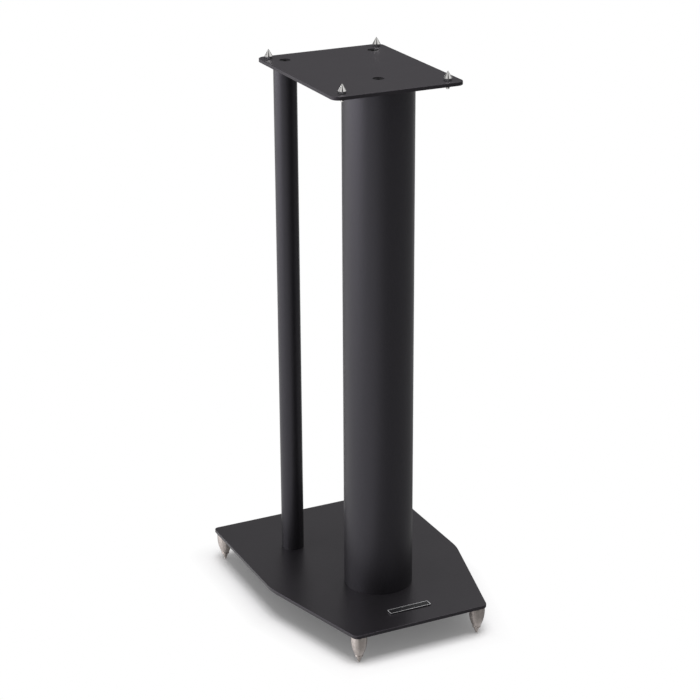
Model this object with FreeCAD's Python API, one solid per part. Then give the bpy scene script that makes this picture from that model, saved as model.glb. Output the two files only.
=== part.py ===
import FreeCAD, Part
import math
import os

# Loudspeaker stand in steel. A base plate on four screw feet carries one thick column and two
# slim ones, and these carry a top plate with four small spikes for the speaker to stand on.
# Front is -Y, right is +X, up is +Z. The floor is z = 0, and the origin is under the middle
# of the base plate. Everything is in millimetres and degrees.

# height
top_face_height = 610.0             # floor to the upper face of the top plate

# base plate: parallel sides behind a bend on each side, tapering in front of it
base_width = 235.0
base_front_width = 160.0
base_depth = 307.5
base_parallel_length = 168.5        # from the rear edge to the bend
base_thickness = 4.0
base_rear_corner_radius = 5.0
base_front_corner_radius = 7.0
base_bend_radius = 70.0

# top plate, centred over the base plate
top_width = 148.0
top_depth = 194.5
top_thickness = 4.0
top_corner_radius = 9.0

plate_edge_round = 0.6              # softened upper and lower edges of both plates
corner_room = 0.45                  # share of a side that the arc at one corner may take

# columns, 3 inch and 1 inch steel tube
main_column_diameter = 76.2
main_column_wall = 2.0
main_column_setback = 51.0          # axis behind the top plate's front edge
rear_column_diameter = 25.4
rear_column_wall = 1.5
rear_column_setback = 26.0          # axes ahead of the top plate's rear edge
rear_column_inset = 22.0            # axes inside its sides

# tapped fittings welded into the ends of the columns
end_disc_thickness = 8.0            # main column
end_plug_length = 16.0              # rear columns
fitting_clearance = 0.1             # between a fitting and the tube, all round
fitting_chamfer = 0.8

# countersunk socket bolts, M6
bolt_diameter = 6.0
bolt_pitch = 1.0
bolt_length = 16.0
bolt_head_diameter = 12.0
bolt_head_height = 3.3
bolt_head_rim = 0.3                 # upright rim above the cone of the head
bolt_socket_width = 4.0             # across flats
bolt_socket_depth = 2.0
bolt_seat_clearance = 0.1           # round the head in its countersink
bolt_socket_turn = 25.0             # how far each next socket is turned

# screw feet: a turned body on a welded stud, with a pressed-in tip
foot_height = 32.5                  # floor to the underside of the base plate
foot_radius = 8.9
foot_upright_height = 4.0           # straight part under the top chamfer, before the side draws in
foot_waist_radius = 4.6
foot_top_chamfer = 0.5
foot_waist_chamfer = 0.5
foot_front_inset = 8.0              # front feet inside the base plate's front corners
foot_front_setback = 9.0            # and behind its front edge
foot_rear_inset = 9.0               # rear feet inside its sides
foot_rear_setback = 12.0            # and ahead of its rear edge
stud_diameter = 8.0
stud_pitch = 1.25
stud_length = 18.0
stud_end_room = 2.0                 # left in the foot past the end of the stud
stud_weld_radius = 5.0
stud_weld_height = 0.8
stud_weld_clearance = 0.4           # round and under the weld collar, in the foot
tip_cone_height = 7.0
tip_cone_radius = 3.6
tip_flat_radius = 0.75              # worn flat that stands on the floor
tip_collar_radius = 4.5
tip_collar_height = 1.9
tip_collar_chamfer = 0.4
tip_shank_radius = 2.0
tip_shank_length = 3.0

# top spikes: a cone on a threaded stem, M4, locked to the plate by a thin nut
spike_front_inset = 14.5            # front spikes inside the top plate's sides
spike_front_setback = 12.25         # and behind its front edge
spike_rear_inset = 10.0             # rear spikes inside its sides
spike_rear_setback = 10.5           # and ahead of its rear edge
spike_cone_radius = 4.45
spike_cone_height = 7.6
spike_cone_rim = 0.5
spike_cone_chamfer = 0.3
spike_tip_radius = 0.35
spike_stem_diameter = 4.0
spike_stem_pitch = 0.7
spike_stem_length = 11.0
spike_nut_width = 7.0               # across flats
spike_nut_height = 2.2
spike_nut_turn = 20.0               # a corner of each nut points this way from +X
spike_nut_face_share = 0.95         # round face at each end, as a share of the width
spike_nut_chamfer_angle = 30.0

thread_clearance = 0.05             # between a screw and its tapped hole, all round
thread_depth_share = 0.6            # depth of a thread, as a share of its pitch
screw_end_chamfer = 0.6

# blank badge on the front of the base plate
badge_length = 49.0
badge_width = 8.6
badge_setback = 31.4                # its middle behind the base plate's front edge
badge_thickness = 1.0
badge_corner_radius = 0.9
badge_rim_width = 0.5
badge_rim_height = 0.35
badge_panel_height = 0.15           # black face standing up inside the rim
badge_panel_gap = 0.05

cut_margin = 1.0                    # how far a cut runs out past the face it opens

# worked out from the sizes above
base_bottom = foot_height
base_top = base_bottom + base_thickness
top_bottom = top_face_height - top_thickness
base_front = -base_depth / 2
base_rear = base_depth / 2
top_front = -top_depth / 2
top_rear = top_depth / 2
rear_column_x = top_width / 2 - rear_column_inset
rear_column_y = top_rear - rear_column_setback
foot_front_x = base_front_width / 2 - foot_front_inset
foot_front_y = base_front + foot_front_setback
foot_rear_x = base_width / 2 - foot_rear_inset
foot_rear_y = base_rear - foot_rear_setback
spike_front_x = top_width / 2 - spike_front_inset
spike_front_y = top_front + spike_front_setback
spike_rear_x = top_width / 2 - spike_rear_inset
spike_rear_y = top_rear - spike_rear_setback
stud_radius = stud_diameter / 2
stem_radius = spike_stem_diameter / 2
bolt_radius = bolt_diameter / 2
bolt_head_radius = bolt_head_diameter / 2
foot_body_bottom = tip_cone_height + tip_collar_height

main_tube = {"diameter": main_column_diameter, "wall": main_column_wall,
             "fitting": "disc", "fitting_length": end_disc_thickness}
slim_tube = {"diameter": rear_column_diameter, "wall": rear_column_wall,
             "fitting": "plug", "fitting_length": end_plug_length}
columns = {
    "main_column": dict(main_tube, x=0.0, y=top_front + main_column_setback),
    "rear_column_left": dict(slim_tube, x=-rear_column_x, y=rear_column_y),
    "rear_column_right": dict(slim_tube, x=rear_column_x, y=rear_column_y),
}
foot_places = {
    "front_left": (-foot_front_x, foot_front_y),
    "front_right": (foot_front_x, foot_front_y),
    "rear_left": (-foot_rear_x, foot_rear_y),
    "rear_right": (foot_rear_x, foot_rear_y),
}
spike_places = {
    "front_left": (-spike_front_x, spike_front_y),
    "front_right": (spike_front_x, spike_front_y),
    "rear_left": (-spike_rear_x, spike_rear_y),
    "rear_right": (spike_rear_x, spike_rear_y),
}


def vec(x, y, z=0.0):
    return FreeCAD.Vector(x, y, z)


def moved(shape, x, y, z):
    copy = shape.copy()
    copy.translate(vec(x, y, z))
    return copy


def upside_down(shape):
    copy = shape.copy()
    copy.rotate(vec(0, 0), vec(1, 0, 0), 180)
    return copy


def turned(points):
    # solid of revolution about Z, from (radius, height) points that start and end on the axis
    corners = [vec(r, 0, z) for r, z in points]
    face = Part.Face(Part.makePolygon(corners + [corners[0]]))
    return face.revolve(vec(0, 0), vec(0, 0, 1), 360)


def cylinder(radius, bottom, top):
    return Part.makeCylinder(radius, top - bottom, vec(0, 0, bottom))


def hexagon(width, bottom, top, turn):
    corner = width / math.sqrt(3)
    points = []
    for k in range(7):
        angle = math.radians(turn + 60 * k)
        points.append(vec(corner * math.cos(angle), corner * math.sin(angle), bottom))
    return Part.Face(Part.makePolygon(points)).extrude(vec(0, 0, top - bottom))


def rounded_outline(corners, radii, z):
    # closed wire through the corners, each rounded by an arc tangent to both its sides
    starts = []
    ends = []
    middles = []
    count = len(corners)
    for k in range(count):
        here = vec(*corners[k])
        back = vec(*corners[k - 1]) - here
        ahead = vec(*corners[(k + 1) % count]) - here
        half_angle = back.getAngle(ahead) / 2
        room = corner_room * min(back.Length, ahead.Length)
        tangent = min(radii[k] / math.tan(half_angle), room)
        radius = tangent * math.tan(half_angle)
        back.normalize()
        ahead.normalize()
        inward = back + ahead
        inward.normalize()
        starts.append(here + back * tangent)
        ends.append(here + ahead * tangent)
        middles.append(here + inward * (radius / math.sin(half_angle) - radius))
    edges = []
    for k in range(count):
        edges.append(Part.Arc(starts[k], middles[k], ends[k]).toShape())
        edges.append(Part.LineSegment(ends[k], starts[(k + 1) % count]).toShape())
    wire = Part.Wire(edges)
    wire.translate(vec(0, 0, z))
    return wire


def rounded_rectangle(length, width, radius, z):
    x = length / 2
    y = width / 2
    corners = [(-x, -y), (x, -y), (x, y), (-x, y)]
    return rounded_outline(corners, [radius] * 4, z)


def plate(outline, thickness):
    # flat plate with its upper and lower edges softened
    slab = Part.Face(outline).extrude(vec(0, 0, thickness))
    rims = [edge for edge in slab.Edges if edge.BoundBox.ZLength < thickness / 2]
    return slab.makeFillet(min(plate_edge_round, thickness / 3), rims)


def thread(radius, pitch, top, bottom):
    # outline of ring-shaped threads, from top down to a chamfered end at bottom
    depth = thread_depth_share * pitch
    points = [(radius, top)]
    crest = top - pitch
    while crest > bottom + screw_end_chamfer:
        points.append((radius - depth, crest + pitch / 2))
        points.append((radius, crest))
        crest = crest - pitch
    points.append((radius, bottom + screw_end_chamfer))
    points.append((radius - screw_end_chamfer, bottom))
    return points


def bolt(socket_turn):
    # head upwards, with the large face of the head at z = 0
    profile = [(0, 0), (bolt_head_radius, 0), (bolt_head_radius, -bolt_head_rim)]
    profile += thread(bolt_radius, bolt_pitch, -bolt_head_height, -bolt_length)
    profile += [(0, -bolt_length)]
    socket = hexagon(bolt_socket_width, -bolt_socket_depth, cut_margin, socket_turn)
    return turned(profile).cut(socket)


def head_recess(thickness):
    # how far a bolt head lies below the outer face of a plate, its cone ending at the inner one
    return thickness - bolt_head_height


def bolt_hole(thickness):
    # countersunk hole through a plate whose outer face is at z = 0
    wide = bolt_head_radius + bolt_seat_clearance
    narrow = bolt_radius + bolt_seat_clearance
    seat = -head_recess(thickness) - bolt_head_rim
    profile = [(0, cut_margin), (wide, cut_margin), (wide, seat), (narrow, -thickness)]
    profile += [(narrow, -thickness - cut_margin), (0, -thickness - cut_margin)]
    return turned(profile)


def base_plate():
    bend = base_rear - base_parallel_length
    rear = base_width / 2
    front = base_front_width / 2
    corners = [(-front, base_front), (front, base_front), (rear, bend)]
    corners += [(rear, base_rear), (-rear, base_rear), (-rear, bend)]
    radii = [base_front_corner_radius, base_front_corner_radius, base_bend_radius]
    radii += [base_rear_corner_radius, base_rear_corner_radius, base_bend_radius]
    shape = plate(rounded_outline(corners, radii, base_bottom), base_thickness)
    hole = upside_down(bolt_hole(base_thickness))
    for tube in columns.values():
        shape = shape.cut(moved(hole, tube["x"], tube["y"], base_bottom))
    return shape


def top_plate():
    outline = rounded_rectangle(top_width, top_depth, top_corner_radius, top_bottom)
    shape = plate(outline, top_thickness)
    hole = bolt_hole(top_thickness)
    for tube in columns.values():
        shape = shape.cut(moved(hole, tube["x"], tube["y"], top_face_height))
    tapped = cylinder(stem_radius + thread_clearance,
                      top_bottom - cut_margin, top_face_height + cut_margin)
    for x, y in spike_places.values():
        shape = shape.cut(moved(tapped, x, y, 0))
    return shape


def column(tube):
    outer = tube["diameter"] / 2
    inner = outer - tube["wall"]
    bore = cylinder(inner, base_top - cut_margin, top_bottom + cut_margin)
    return cylinder(outer, base_top, top_bottom).cut(bore)


def end_fitting(tube):
    # tapped disc or plug, from z = 0 upwards, with its rims chamfered
    radius = tube["diameter"] / 2 - tube["wall"] - fitting_clearance
    length = tube["fitting_length"]
    profile = [(0, 0), (radius - fitting_chamfer, 0), (radius, fitting_chamfer)]
    profile += [(radius, length - fitting_chamfer), (radius - fitting_chamfer, length)]
    profile += [(0, length)]
    tapped = cylinder(bolt_radius + thread_clearance, -cut_margin, length + cut_margin)
    return turned(profile).cut(tapped)


def foot_stud():
    # stud on the underside of the base plate, at z = 0 here, with its weld collar
    weld = stud_weld_radius - stud_weld_height
    profile = [(0, 0), (stud_weld_radius, 0), (weld, -stud_weld_height)]
    profile += thread(stud_radius, stud_pitch, -stud_weld_height, -stud_length)
    profile += [(0, -stud_length)]
    return turned(profile)


def foot_body():
    # turned body, upright at the top and drawn in to the waist by one arc
    side_top = foot_height - foot_top_chamfer
    arc_top = side_top - foot_upright_height
    side_bottom = foot_body_bottom + foot_waist_chamfer
    fall = arc_top - side_bottom
    draw = foot_radius - foot_waist_radius
    arc_radius = (fall * fall + draw * draw) / (2 * draw)
    half = math.asin(fall / arc_radius) / 2
    middle = vec(foot_radius - arc_radius * (1 - math.cos(half)), 0,
                 arc_top - arc_radius * math.sin(half))
    upper = vec(foot_radius, 0, arc_top)
    lower = vec(foot_waist_radius, 0, side_bottom)
    around = [lower,
              vec(foot_waist_radius - foot_waist_chamfer, 0, foot_body_bottom),
              vec(0, 0, foot_body_bottom),
              vec(0, 0, foot_height),
              vec(foot_radius - foot_top_chamfer, 0, foot_height),
              vec(foot_radius, 0, side_top),
              upper]
    edges = [Part.Arc(upper, middle, lower).toShape()]
    for start, end in zip(around, around[1:]):
        edges.append(Part.LineSegment(start, end).toShape())
    body = Part.Face(Part.Wire(edges)).revolve(vec(0, 0), vec(0, 0, 1), 360)
    opening = foot_height + cut_margin
    bore_end = foot_height - stud_length - stud_end_room
    mouth_end = foot_height - stud_weld_height - stud_weld_clearance
    body = body.cut(cylinder(stud_radius + thread_clearance, bore_end, opening))
    body = body.cut(cylinder(stud_weld_radius + stud_weld_clearance, mouth_end, opening))
    return body.cut(cylinder(tip_shank_radius, foot_body_bottom - cut_margin,
                             foot_body_bottom + tip_shank_length))


def foot_tip():
    collar = tip_collar_radius - tip_collar_chamfer
    collar_low = tip_cone_height + tip_collar_chamfer
    collar_high = foot_body_bottom - tip_collar_chamfer
    shank_end = foot_body_bottom + tip_shank_length
    return turned([(0, 0), (tip_flat_radius, 0), (tip_cone_radius, tip_cone_height),
                   (collar, tip_cone_height), (tip_collar_radius, collar_low),
                   (tip_collar_radius, collar_high), (collar, foot_body_bottom),
                   (tip_shank_radius, foot_body_bottom), (tip_shank_radius, shank_end),
                   (0, shank_end)])


def spike():
    # cone on a threaded stem, with the top plate's upper face at z = 0 here
    seat = spike_nut_height
    tip = seat + spike_cone_height
    end = seat - spike_stem_length
    profile = [(0, tip), (spike_tip_radius, tip), (spike_cone_radius, seat + spike_cone_rim)]
    profile += [(spike_cone_radius, seat + spike_cone_chamfer)]
    profile += [(spike_cone_radius - spike_cone_chamfer, seat)]
    profile += thread(stem_radius, spike_stem_pitch, seat, end)
    profile += [(0, end)]
    return turned(profile)


def spike_nut():
    # thin lock nut standing on z = 0, its corners turned off at both ends
    corner = spike_nut_width / math.sqrt(3)
    face = spike_nut_face_share * spike_nut_width / 2
    slope = (corner - face) * math.tan(math.radians(spike_nut_chamfer_angle))
    body = hexagon(spike_nut_width, 0, spike_nut_height, spike_nut_turn)
    body = body.common(turned([(0, 0), (face, 0), (corner, slope),
                               (corner, spike_nut_height - slope), (face, spike_nut_height),
                               (0, spike_nut_height)]))
    return body.cut(cylinder(stem_radius + thread_clearance,
                             -cut_margin, spike_nut_height + cut_margin))


def badge_plate():
    # black plate with a raised face that the rim goes round
    slab = Part.Face(rounded_rectangle(badge_length, badge_width, badge_corner_radius, 0))
    inset = 2 * (badge_rim_width + badge_panel_gap)
    panel = Part.Face(rounded_rectangle(badge_length - inset, badge_width - inset,
                                        badge_corner_radius / 2, 0))
    slab = slab.extrude(vec(0, 0, badge_thickness))
    return slab.fuse(panel.extrude(vec(0, 0, badge_thickness + badge_panel_height)))


def badge_rim():
    inset = 2 * badge_rim_width
    outside = rounded_rectangle(badge_length, badge_width, badge_corner_radius, badge_thickness)
    inside = rounded_rectangle(badge_length - inset, badge_width - inset,
                               badge_corner_radius / 2, badge_thickness)
    ring = Part.Face(outside).cut(Part.Face(inside))
    return ring.extrude(vec(0, 0, badge_rim_height))


def build():
    parts = {}
    parts["base_plate"] = base_plate()
    parts["top_plate"] = top_plate()

    turn = 0.0
    high_head = top_face_height - head_recess(top_thickness)
    low_head = base_bottom + head_recess(base_thickness)
    for name, tube in columns.items():
        x = tube["x"]
        y = tube["y"]
        fitting = end_fitting(tube)
        fitting_bottom = top_bottom - tube["fitting_length"]
        parts[name] = moved(column(tube), x, y, 0)
        parts[name + "_top_" + tube["fitting"]] = moved(fitting, x, y, fitting_bottom)
        parts[name + "_bottom_" + tube["fitting"]] = moved(fitting, x, y, base_top)
        parts[name + "_top_bolt"] = moved(bolt(turn), x, y, high_head)
        parts[name + "_bottom_bolt"] = moved(upside_down(bolt(turn)), x, y, low_head)
        turn = turn + bolt_socket_turn

    for place, (x, y) in foot_places.items():
        parts["foot_stud_" + place] = moved(foot_stud(), x, y, base_bottom)
        parts["foot_" + place] = moved(foot_body(), x, y, 0)
        parts["foot_tip_" + place] = moved(foot_tip(), x, y, 0)

    for place, (x, y) in spike_places.items():
        parts["spike_" + place] = moved(spike(), x, y, top_face_height)
        parts["spike_nut_" + place] = moved(spike_nut(), x, y, top_face_height)

    badge_y = base_front + badge_setback
    parts["badge_plate"] = moved(badge_plate(), 0, badge_y, base_top)
    parts["badge_rim"] = moved(badge_rim(), 0, badge_y, base_top)
    return parts


os.makedirs("parts", exist_ok=True)
for name, shape in build().items():
    shape.exportStep("parts/" + name + ".step")
    print(name, len(shape.Solids), shape.isValid(), round(shape.Volume, 1))
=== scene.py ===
import bpy
import math
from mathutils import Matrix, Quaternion, Vector


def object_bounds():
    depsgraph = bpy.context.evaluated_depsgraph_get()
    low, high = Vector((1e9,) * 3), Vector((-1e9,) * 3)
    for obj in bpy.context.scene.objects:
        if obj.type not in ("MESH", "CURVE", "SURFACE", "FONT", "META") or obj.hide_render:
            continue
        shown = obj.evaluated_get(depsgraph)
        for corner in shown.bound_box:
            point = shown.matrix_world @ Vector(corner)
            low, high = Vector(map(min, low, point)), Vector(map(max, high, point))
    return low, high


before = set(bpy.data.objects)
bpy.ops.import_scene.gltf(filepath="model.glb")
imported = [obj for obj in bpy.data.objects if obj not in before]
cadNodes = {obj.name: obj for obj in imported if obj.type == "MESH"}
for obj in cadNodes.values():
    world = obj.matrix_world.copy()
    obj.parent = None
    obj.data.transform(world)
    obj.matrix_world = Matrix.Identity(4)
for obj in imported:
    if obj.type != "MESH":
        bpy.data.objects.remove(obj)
cadLow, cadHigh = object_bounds()
print("frame loaded,", len(cadNodes), "nodes")


def startMaterial(name):
    # new material with its tree and its Principled shader
    material = bpy.data.materials.new(name)
    material.use_nodes = True
    tree = material.node_tree
    return material, tree, tree.nodes["Principled BSDF"]


def addNode(tree, kind, **settings):
    # settings named like the node's own properties, anything else goes to an input socket
    node = tree.nodes.new(kind)
    for key, value in settings.items():
        if hasattr(node, key):
            setattr(node, key, value)
        else:
            node.inputs[key].default_value = value
    return node


def link(tree, fromSocket, toSocket):
    tree.links.new(fromSocket, toSocket)


def setInputs(tree, sockets, values):
    # a value that is a socket is linked, any other is written in
    for socket, value in zip(sockets, values):
        if isinstance(value, bpy.types.NodeSocket):
            link(tree, value, socket)
        else:
            socket.default_value = value


def calculate(tree, operation, *values):
    node = addNode(tree, "ShaderNodeMath", operation=operation)
    setInputs(tree, node.inputs, values)
    return node.outputs["Value"]


def vectorMath(tree, operation, *values):
    node = addNode(tree, "ShaderNodeVectorMath", operation=operation)
    setInputs(tree, node.inputs, values)
    return node.outputs["Value" if operation in ("DOT_PRODUCT", "LENGTH") else "Vector"]


def surfaceCoords(tree):
    # metres, fixed to the part
    return addNode(tree, "ShaderNodeTexCoord").outputs["Object"]


noiseSpread = (0.3, 0.7)     # soft noise mostly stays between these


def noise(tree, coords, size, detail=2.0, rough=0.5):
    # soft noise with patches about size metres across
    node = addNode(tree, "ShaderNodeTexNoise", Scale=1.0 / size, Detail=detail, Roughness=rough)
    link(tree, coords, node.inputs["Vector"])
    return node.outputs["Fac"]


def remap(tree, socket, fromLow, fromHigh, toLow=0.0, toHigh=1.0):
    node = addNode(tree, "ShaderNodeMapRange", clamp=True)
    inputs = [node.inputs[name] for name in ("Value", "From Min", "From Max", "To Min", "To Max")]
    setInputs(tree, inputs, (socket, fromLow, fromHigh, toLow, toHigh))
    return node.outputs["Result"]


def ramp(tree, socket, stops):
    node = addNode(tree, "ShaderNodeValToRGB")
    elements = node.color_ramp.elements
    while len(elements) < len(stops):
        elements.new(0.5)
    for element, (position, colour) in zip(elements, stops):
        element.position = position
        element.color = (*colour, 1.0)
    link(tree, socket, node.inputs["Fac"])
    return node.outputs["Color"]


def grey(level):
    return (level, level, level, 1.0)


def mixColours(tree, factor, first, second):
    # each of the two is a socket or a colour; these sockets share their names, so they go by number
    node = addNode(tree, "ShaderNodeMix", data_type="RGBA")
    setInputs(tree, (node.inputs["Factor"], node.inputs[6], node.inputs[7]), (factor, first, second))
    return node.outputs[2]


def mixShaders(tree, factor, first, second):
    node = addNode(tree, "ShaderNodeMixShader")
    setInputs(tree, node.inputs, (factor, first, second))
    return node.outputs["Shader"]


def bump(tree, height, depth, normal=None):
    # depth in metres
    node = addNode(tree, "ShaderNodeBump", Strength=1.0, Distance=depth)
    link(tree, height, node.inputs["Height"])
    if normal is not None:
        link(tree, normal, node.inputs["Normal"])
    return node.outputs["Normal"]


# satin black powder coat; sizes and depths in metres
powderGrain = {
    "black": (0.0066, 0.0063, 0.0070),
    "dusty": (0.0092, 0.0087, 0.0096),
    "dustyFrom": 0.35,           # where in the grain the dusty colour starts and is full
    "dustyFull": 0.75,
    "grainSize": 0.00045,
    "grainDepth": 0.00002,
    "orangePeelSize": 0.0022,
    "orangePeelDepth": 0.00006,
    "cloudSize": 0.05,
    "grainShare": 0.6,           # of the change in roughness, the rest comes from the clouds
    "rough": (0.36, 0.46),
}

powderCoats = {
    "powderCoatBlack": {"tint": (1.0, 0.96, 1.10), "specular": 0.5, "duller": 0.0},
    # scuffed by what stands on it
    "powderCoatTopPlate": {"tint": (1.0, 0.91, 1.05), "specular": 0.42, "duller": 0.16},
    # a little glossier than the columns
    "powderCoatBasePlate": {"tint": (1.0, 0.91, 1.05), "specular": 0.46, "duller": -0.07},
}


def makePowderCoat(name):
    look = powderGrain
    coat = powderCoats[name]
    material, tree, shader = startMaterial(name)
    coords = surfaceCoords(tree)
    grain = noise(tree, coords, look["grainSize"], detail=2.0, rough=0.6)
    peel = noise(tree, coords, look["orangePeelSize"], detail=1.0)
    cloud = noise(tree, coords, look["cloudSize"], detail=3.0)
    stops = [(look["dustyFrom"], look["black"]), (look["dustyFull"], look["dusty"])]
    link(tree, ramp(tree, grain, stops), shader.inputs["Base Color"])
    grainPart = remap(tree, grain, *noiseSpread, 0.0, look["grainShare"])
    cloudPart = remap(tree, cloud, *noiseSpread, 0.0, 1.0 - look["grainShare"])
    lowRough, highRough = look["rough"]
    roughness = remap(tree, calculate(tree, "ADD", grainPart, cloudPart), 0.0, 1.0,
                      lowRough + coat["duller"], highRough + coat["duller"])
    link(tree, roughness, shader.inputs["Roughness"])
    shader.inputs["Specular IOR Level"].default_value = coat["specular"]
    shader.inputs["Specular Tint"].default_value = (*coat["tint"], 1.0)
    peelNormal = bump(tree, peel, look["orangePeelDepth"])
    link(tree, bump(tree, grain, look["grainDepth"], peelNormal), shader.inputs["Normal"])
    return material


metalGrain = {
    "waveLength": 0.32,          # about how far apart the bands of a wave texture of scale 1 are
    "ringWobble": 1.2,
    "cloudSize": 0.004,
    "fineSize": 0.0006,
    "upwards": 0.25,             # turns from round the piece to up along it
}

# drawnOut is how far the rings of the tool draw the gloss out up and down
metals = {
    "nickelTurned": {"colour": (0.50, 0.455, 0.43), "tint": (0.41, 0.37, 0.345),
                     "rough": (0.27, 0.33), "drawnOut": 0.97,
                     "grooveSize": 0.00022, "grooveDepth": 0.0000006},
    "steelPolished": {"colour": (0.80, 0.79, 0.77), "tint": (0.70, 0.69, 0.68),
                      "rough": (0.05, 0.09), "drawnOut": 0.3,
                      "grooveSize": 0.00015, "grooveDepth": 0.0000002},
    "zincPlated": {"colour": (0.40, 0.405, 0.415), "tint": (0.30, 0.30, 0.31),
                   "rough": (0.24, 0.36), "drawnOut": 0.0,
                   "grooveSize": 0.0003, "grooveDepth": 0.000003},
    "steelBare": {"colour": (0.42, 0.41, 0.40), "tint": (0.33, 0.31, 0.29),
                  "rough": (0.32, 0.45), "drawnOut": 0.5,
                  "grooveSize": 0.0004, "grooveDepth": 0.000006},
    "badgeSilver": {"colour": (0.86, 0.86, 0.87), "tint": (0.78, 0.78, 0.79),
                    "rough": (0.45, 0.55), "drawnOut": 0.0,
                    "grooveSize": 0.0002, "grooveDepth": 0.000001},
}


def makeMetal(name):
    # fine rings one above the other, and a faint cloudy tint
    look = metals[name]
    grain = metalGrain
    material, tree, shader = startMaterial(name)
    coords = surfaceCoords(tree)
    rings = addNode(tree, "ShaderNodeTexWave", wave_type="BANDS", bands_direction="Z", Detail=2.0,
                    Scale=grain["waveLength"] / look["grooveSize"], Distortion=grain["ringWobble"])
    link(tree, coords, rings.inputs["Vector"])
    cloud = noise(tree, coords, grain["cloudSize"], detail=3.0)
    fine = noise(tree, coords, grain["fineSize"], detail=2.0)
    stops = list(zip(noiseSpread, (look["tint"], look["colour"])))
    link(tree, ramp(tree, cloud, stops), shader.inputs["Base Color"])
    shader.inputs["Metallic"].default_value = 1.0
    link(tree, remap(tree, fine, *noiseSpread, *look["rough"]), shader.inputs["Roughness"])
    link(tree, bump(tree, rings.outputs["Fac"], look["grooveDepth"]), shader.inputs["Normal"])
    shader.inputs["Anisotropic"].default_value = look["drawnOut"]
    shader.inputs["Anisotropic Rotation"].default_value = grain["upwards"]
    around = addNode(tree, "ShaderNodeTangent", direction_type="RADIAL", axis="Z")
    link(tree, around.outputs["Tangent"], shader.inputs["Tangent"])
    return material


darkGrain = {
    "patchSize": 0.0012,
    "wornFrom": 0.4,             # where in the patches the worn colour starts and is full
    "wornFull": 0.7,
    "fineSize": 0.0003,
    "fineDepth": 0.000004,
}

darkFinishes = {
    "blackOxide": {"colour": (0.004, 0.004, 0.005), "worn": (0.008, 0.008, 0.008),
                   "rough": (0.50, 0.65), "specular": 0.1},
    "badgeBlack": {"colour": (0.006, 0.006, 0.007), "worn": (0.009, 0.009, 0.010),
                   "rough": (0.35, 0.45), "specular": 0.3},
}


def makeDarkFinish(name):
    look = darkFinishes[name]
    grain = darkGrain
    material, tree, shader = startMaterial(name)
    coords = surfaceCoords(tree)
    patches = noise(tree, coords, grain["patchSize"], detail=3.0)
    fine = noise(tree, coords, grain["fineSize"], detail=2.0)
    stops = [(grain["wornFrom"], look["colour"]), (grain["wornFull"], look["worn"])]
    link(tree, ramp(tree, patches, stops), shader.inputs["Base Color"])
    link(tree, remap(tree, fine, *noiseSpread, *look["rough"]), shader.inputs["Roughness"])
    shader.inputs["Specular IOR Level"].default_value = look["specular"]
    link(tree, bump(tree, fine, grain["fineDepth"]), shader.inputs["Normal"])
    return material


finishes = {name: makePowderCoat(name) for name in powderCoats}
finishes.update({name: makeMetal(name) for name in metals})
finishes.update({name: makeDarkFinish(name) for name in darkFinishes})
print("materials made,", len(finishes))


def finishFor(nodeName):
    if nodeName.endswith("_bolt"):
        return "blackOxide"
    if nodeName.endswith(("_disc", "_plug")):
        return "steelBare"
    if nodeName.startswith(("foot_stud", "spike_nut")):
        return "zincPlated"
    if nodeName.startswith("spike_"):
        return "steelPolished"
    if nodeName.startswith("foot_"):      # the feet and their tips
        return "nickelTurned"
    ownFinish = {
        "badge_rim": "badgeSilver",
        "badge_plate": "badgeBlack",
        "base_plate": "powderCoatBasePlate",
        "top_plate": "powderCoatTopPlate",
    }
    return ownFinish.get(nodeName, "powderCoatBlack")


for nodeName, node in cadNodes.items():
    for materialSlot in node.material_slots:
        materialSlot.material = finishes[finishFor(nodeName)]
print("finishes given to", len(cadNodes), "nodes")


# the studio that the stand's gloss sees is pale on the left and behind, and changes towards these sides
# side is in degrees from the front towards the right, start and full are how far round towards it the
# change starts and is complete, as cosines
studioSides = {
    "dark": {"side": 52.0, "start": 0.08, "full": 0.39},           # the unlit right of the studio
    "gap": {"side": -16.0, "start": 0.90, "full": 0.96},           # a dark gap beside the camera
    "behind": {"side": 205.0, "start": 0.42, "full": 0.85},        # overhead it is duller there
    "nearFloor": {"side": 52.0, "start": 0.07, "full": 0.22},      # sharp where the feet reflect it
    "farFloor": {"side": 52.0, "start": 0.07, "full": 0.55},       # soft further out
}


def towardsSide(tree, direction, name):
    # 1 towards that side of the studio, 0 on the other sides
    look = studioSides[name]
    angle = math.radians(look["side"])
    along = vectorMath(tree, "NORMALIZE", vectorMath(tree, "MULTIPLY", direction, (1.0, 1.0, 0.0)))
    facing = vectorMath(tree, "DOT_PRODUCT", along, (math.sin(angle), -math.cos(angle), 0.0))
    return remap(tree, facing, look["start"], look["full"])


def showsBackground(tree):
    # 1 for rays that should see the plain background, not light from it
    path = addNode(tree, "ShaderNodeLightPath").outputs
    direct = calculate(tree, "MAXIMUM", path["Is Camera Ray"], path["Is Glossy Ray"])
    return calculate(tree, "MAXIMUM", direct, path["Is Transmission Ray"])


floorLook = {
    "halfSide": 6.0,
    "white": 0.90,
    "keptShadow": 0.88,                  # share of its own shading under the stand, the rest is plain white
    "fadeWidth": 0.031,                  # how far out from the base plate it turns plain white
    "taperNormal": (0.9655, -0.2605),    # the base plate's slanting front sides: direction
    "taperPlace": 0.1173,                # and distance from the middle
    "darkLevel": 0.35,                   # in reflections, on the studio's dark side
    "darkFull": 0.015,                   # how far out it is that dark
    "sharpTo": 0.05,                     # how far out the dark side's edge is sharp,
    "softFrom": 0.40,                    # and from where it is soft
}


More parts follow.
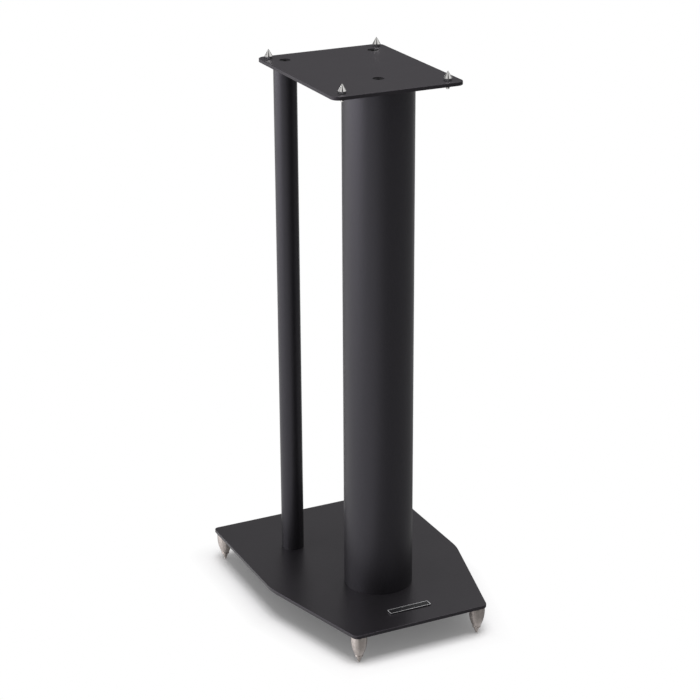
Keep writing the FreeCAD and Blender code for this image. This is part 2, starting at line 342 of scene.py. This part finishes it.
def reachFromBase(tree, coords):
    # distance outside the base plate's outline, seen from above: its box, and its tapering front
    look = floorLook
    size = vectorMath(tree, "ABSOLUTE", coords)
    outside = vectorMath(tree, "SUBTRACT", size, (cadHigh.x, cadHigh.y, 0.0))
    fromBox = vectorMath(tree, "LENGTH", vectorMath(tree, "MAXIMUM", outside, (0.0, 0.0, 0.0)))
    depth = vectorMath(tree, "MULTIPLY", coords, (0.0, 1.0, 0.0))
    folded = vectorMath(tree, "MULTIPLY_ADD", size, (1.0, 0.0, 0.0), depth)
    slant = vectorMath(tree, "DOT_PRODUCT", folded, (*look["taperNormal"], 0.0))
    return calculate(tree, "MAXIMUM", fromBox, calculate(tree, "SUBTRACT", slant, look["taperPlace"]))


def makePaper():
    # white paper that keeps the shadow under the stand and fades to plain white round it
    look = floorLook
    material = bpy.data.materials.new("paperWhite")
    material.use_nodes = True
    tree = material.node_tree
    tree.nodes.clear()
    coords = surfaceCoords(tree)
    reach = reachFromBase(tree, coords)
    paper = addNode(tree, "ShaderNodeBsdfDiffuse", Color=grey(look["white"]))
    plain = addNode(tree, "ShaderNodeEmission", Strength=1.0)
    fade = remap(tree, reach, 0.0, look["fadeWidth"], 1.0 - look["keptShadow"], 1.0)
    plainShare = calculate(tree, "MULTIPLY", fade, showsBackground(tree))
    shown = mixShaders(tree, plainShare, paper.outputs["BSDF"], plain.outputs["Emission"])
    # in reflections, the floor away from the stand is dark on the studio's dark side
    unlit = addNode(tree, "ShaderNodeEmission", Strength=look["darkLevel"])
    away = remap(tree, reach, 0.0, look["darkFull"])
    further = remap(tree, reach, look["sharpTo"], look["softFrom"])
    sharp = towardsSide(tree, coords, "nearFloor")
    soft = towardsSide(tree, coords, "farFloor")
    sided = calculate(tree, "MULTIPLY", away, mixColours(tree, further, sharp, soft))
    gloss = addNode(tree, "ShaderNodeLightPath").outputs["Is Glossy Ray"]
    darkShare = calculate(tree, "MULTIPLY", gloss, sided)
    output = addNode(tree, "ShaderNodeOutputMaterial")
    link(tree, mixShaders(tree, darkShare, shown, unlit.outputs["Emission"]), output.inputs["Surface"])
    return material


bpy.ops.mesh.primitive_plane_add(size=2 * floorLook["halfSide"])
floor = bpy.context.object
floor.name = "studioFloor"
floor.data.materials.append(makePaper())
print("floor made")


worldLook = {
    "fill": 0.40,                # even light from all round
    "gapLevel": 0.03,            # in reflections, in the dark gap
    # height and level, in reflections, on each of the other sides
    "pale": [(0.0, 1.0), (0.08, 0.14), (0.25, 0.14), (0.45, 0.80)],
    "behind": [(0.0, 1.0), (0.08, 0.14), (0.25, 0.14), (0.45, 0.33)],
    "dark": [(0.0, 0.055), (0.22, 0.055), (0.38, 0.80)],
}


def makeWorld():
    look = worldLook
    world = bpy.data.worlds.new("studio")
    bpy.context.scene.world = world
    world.use_nodes = True
    tree = world.node_tree
    tree.nodes.clear()
    direction = addNode(tree, "ShaderNodeTexCoord").outputs["Generated"]
    split = addNode(tree, "ShaderNodeSeparateXYZ")
    link(tree, direction, split.inputs["Vector"])
    backdrops = {}
    for side in ("pale", "behind", "dark"):
        stops = [(height, (level, level, level)) for height, level in look[side]]
        backdrops[side] = ramp(tree, split.outputs["Z"], stops)
    studio = backdrops["pale"]
    for side in ("behind", "dark"):
        studio = mixColours(tree, towardsSide(tree, direction, side), studio, backdrops[side])
    studio = mixColours(tree, towardsSide(tree, direction, "gap"), studio, grey(look["gapLevel"]))
    seen = addNode(tree, "ShaderNodeLightPath").outputs["Is Camera Ray"]
    shown = addNode(tree, "ShaderNodeBackground", Strength=1.0)
    link(tree, mixColours(tree, seen, studio, grey(1.0)), shown.inputs["Color"])
    even = addNode(tree, "ShaderNodeBackground", Color=grey(1.0), Strength=look["fill"])
    mixed = mixShaders(tree, showsBackground(tree), even.outputs["Background"], shown.outputs["Background"])
    output = addNode(tree, "ShaderNodeOutputWorld")
    link(tree, mixed, output.inputs["Surface"])


makeWorld()
print("world made")


lamps = {
    "overheadPanel": {"place": (0.0, -0.39, 4.0), "aim": (0.0, 0.0, 0.3), "size": (2.6, 2.6),
                      "watts": 144.0, "colour": (1.0, 0.99, 1.0)},
    "leftPanel": {"place": (-2.50, 0.81, 0.85), "aim": (0.0, 0.0, 0.35), "size": (3.6, 1.7),
                  "watts": 76.0, "colour": (0.98, 0.97, 1.0)},
}


def makeLamp(name):
    look = lamps[name]
    data = bpy.data.lights.new(name, "AREA")
    data.shape = "RECTANGLE"
    data.size, data.size_y = look["size"]
    data.energy = look["watts"]
    data.color = look["colour"]
    lamp = bpy.data.objects.new(name, data)
    bpy.context.scene.collection.objects.link(lamp)
    lamp.location = look["place"]
    direction = Vector(look["aim"]) - Vector(look["place"])
    lamp.rotation_euler = direction.to_track_quat("-Z", "Y").to_euler()
    lamp.visible_camera = False
    return lamp


madeLamps = {lampName: makeLamp(lampName) for lampName in lamps}

# the side light falls on the stand alone, so that the floor's shadow stays straight below it
standOnly = bpy.data.collections.new("standOnly")
for node in cadNodes.values():
    standOnly.objects.link(node)
madeLamps["leftPanel"].light_linking.receiver_collection = standOnly
print("lights set")


cameraLook = {
    "place": (-0.8988, -1.8475, 1.1027),
    "aim": (0.0, 0.0238, 0.2879),
    "roll": -0.281,              # degrees
    "lens": 103.57,
}


def makeCamera():
    look = cameraLook
    data = bpy.data.cameras.new("camera")
    data.lens = look["lens"]
    camera = bpy.data.objects.new("camera", data)
    bpy.context.scene.collection.objects.link(camera)
    camera.location = look["place"]
    forward = Vector(look["aim"]) - Vector(look["place"])
    level = forward.to_track_quat("-Z", "Y")
    camera.rotation_mode = "QUATERNION"
    camera.rotation_quaternion = level @ Quaternion((0.0, 0.0, 1.0), math.radians(look["roll"]))
    bpy.context.scene.camera = camera


makeCamera()
bpy.context.scene.view_settings.view_transform = "Standard"
print("camera set")
